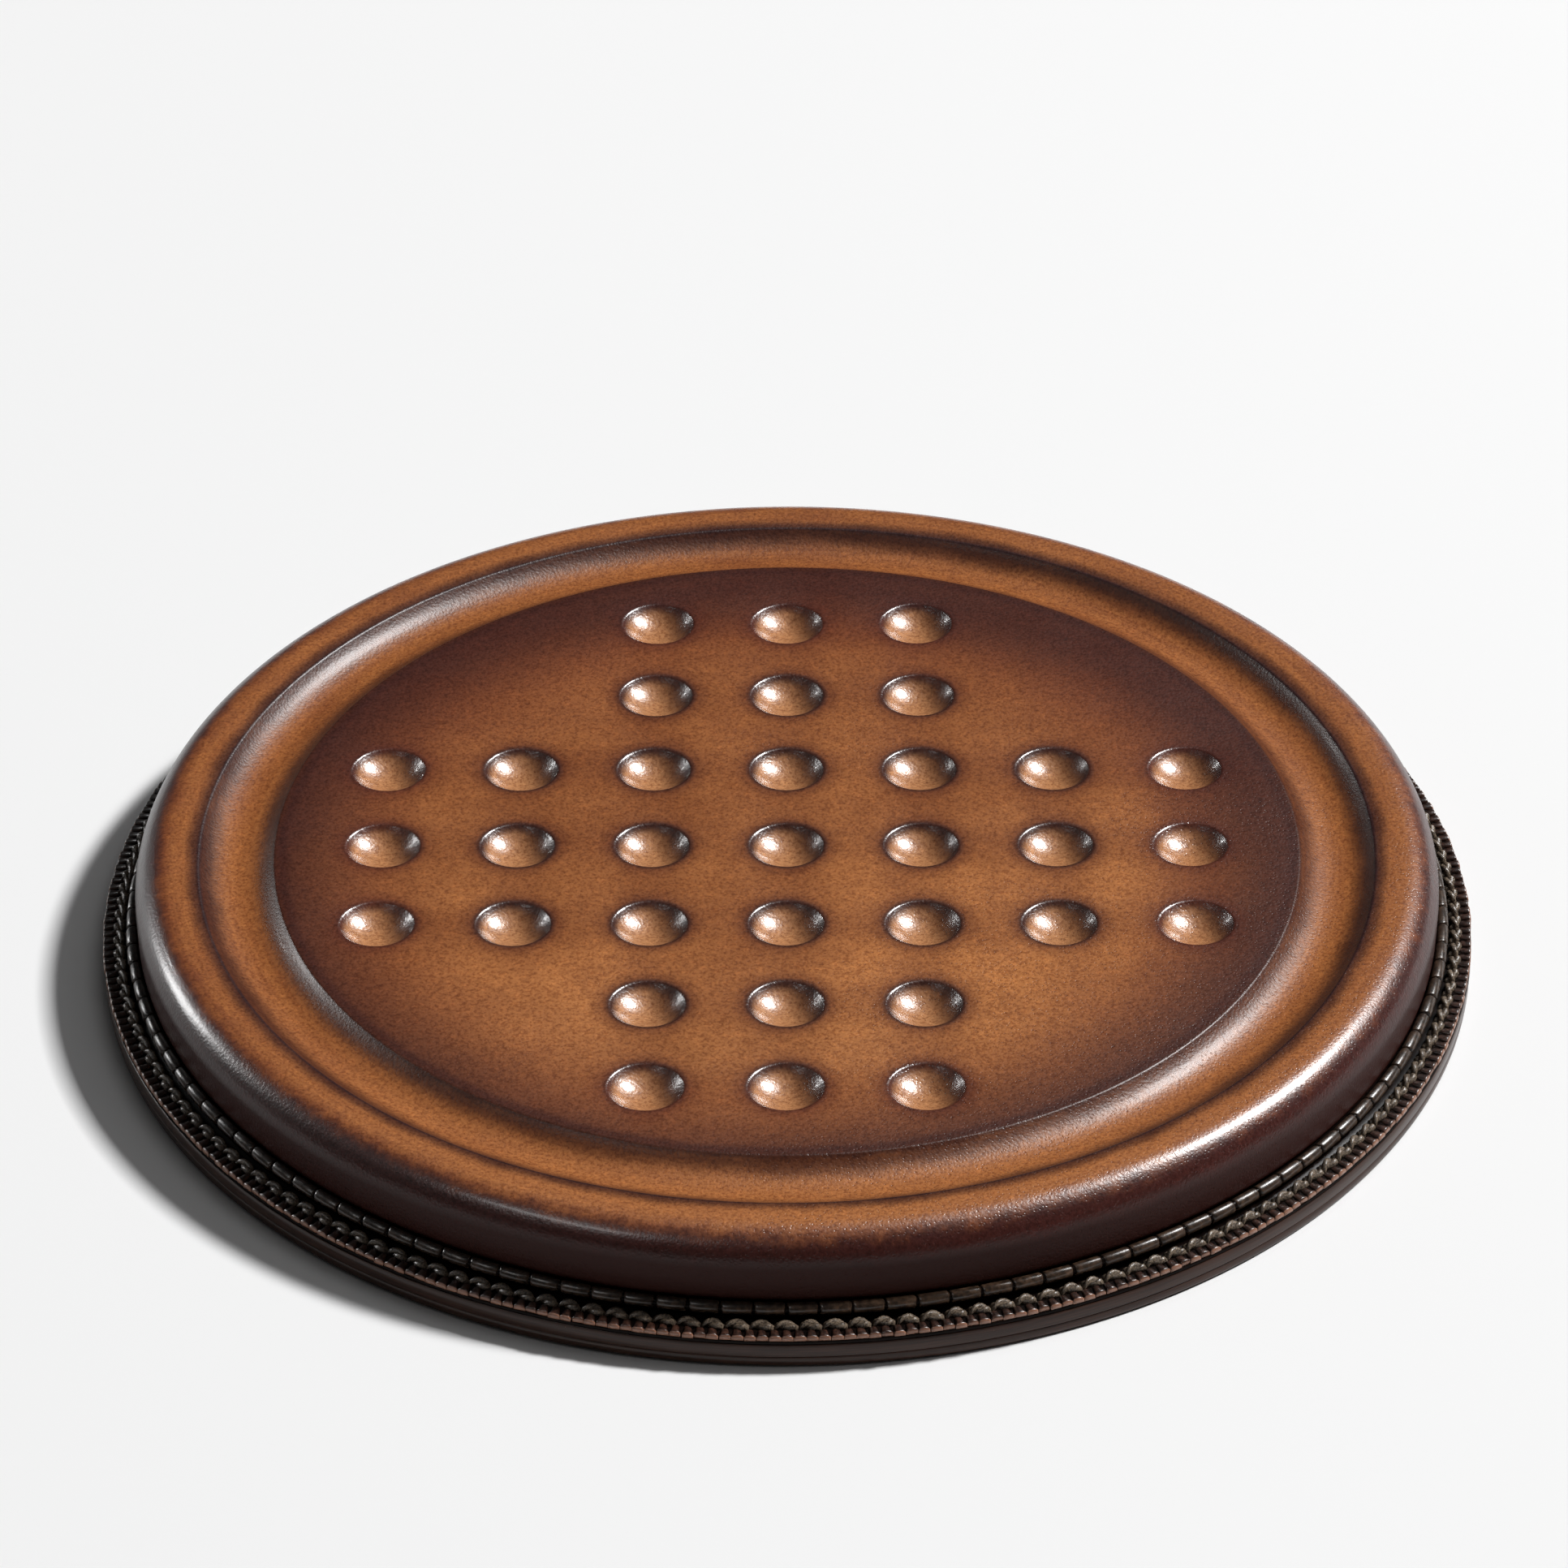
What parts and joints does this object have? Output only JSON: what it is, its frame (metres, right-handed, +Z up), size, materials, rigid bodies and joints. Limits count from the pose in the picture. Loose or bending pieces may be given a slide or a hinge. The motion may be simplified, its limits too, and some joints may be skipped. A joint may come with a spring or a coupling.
{
  "type": "marble solitaire board",
  "caption": "Round leather-covered marble solitaire board with a cross of sunk hollows, a gutter ring, a rolled rim, and a welted, stitched, stacked leather sole.",
  "frame": {"origin": "centre of the outsole's underside, on the surface that the board stands on", "axes": "+Z up through the middle of the play disc; +X and +Y along the two arms of the cross of hollows"},
  "size_m": [0.3003, 0.3004, 0.026],
  "materials": {
    "patina_leather": "hand-burnished, semi-gloss, tan shading to burgundy and black-brown at the edges",
    "core_wood": "turned beech, unfinished",
    "insole_leather": "natural vegetable-tanned, matt",
    "tack_iron": "blued iron, dull",
    "cork": "granulated cork sheet, matt",
    "dark_welt_leather": "waxed dark brown, notched and wheeled",
    "waxed_thread": "waxed twisted linen thread, dark brown",
    "inseam_thread": "waxed linen thread, natural",
    "burnished_sole_leather": "burnished sole edge, very dark brown, satin"
  },
  "bodies": {
    "root": {"leather_cover": "patina_leather", "turned_core": "core_wood", "insole_board": "insole_leather", "lasting_tacks": "tack_iron", "cork_filler": "cork", "storm_rand": "dark_welt_leather", "welt": "dark_welt_leather", "welt_stitches": "waxed_thread", "inseam_stitches": "inseam_thread", "midsole": "burnished_sole_leather", "outsole": "burnished_sole_leather"}
  },
  "joints": []
}
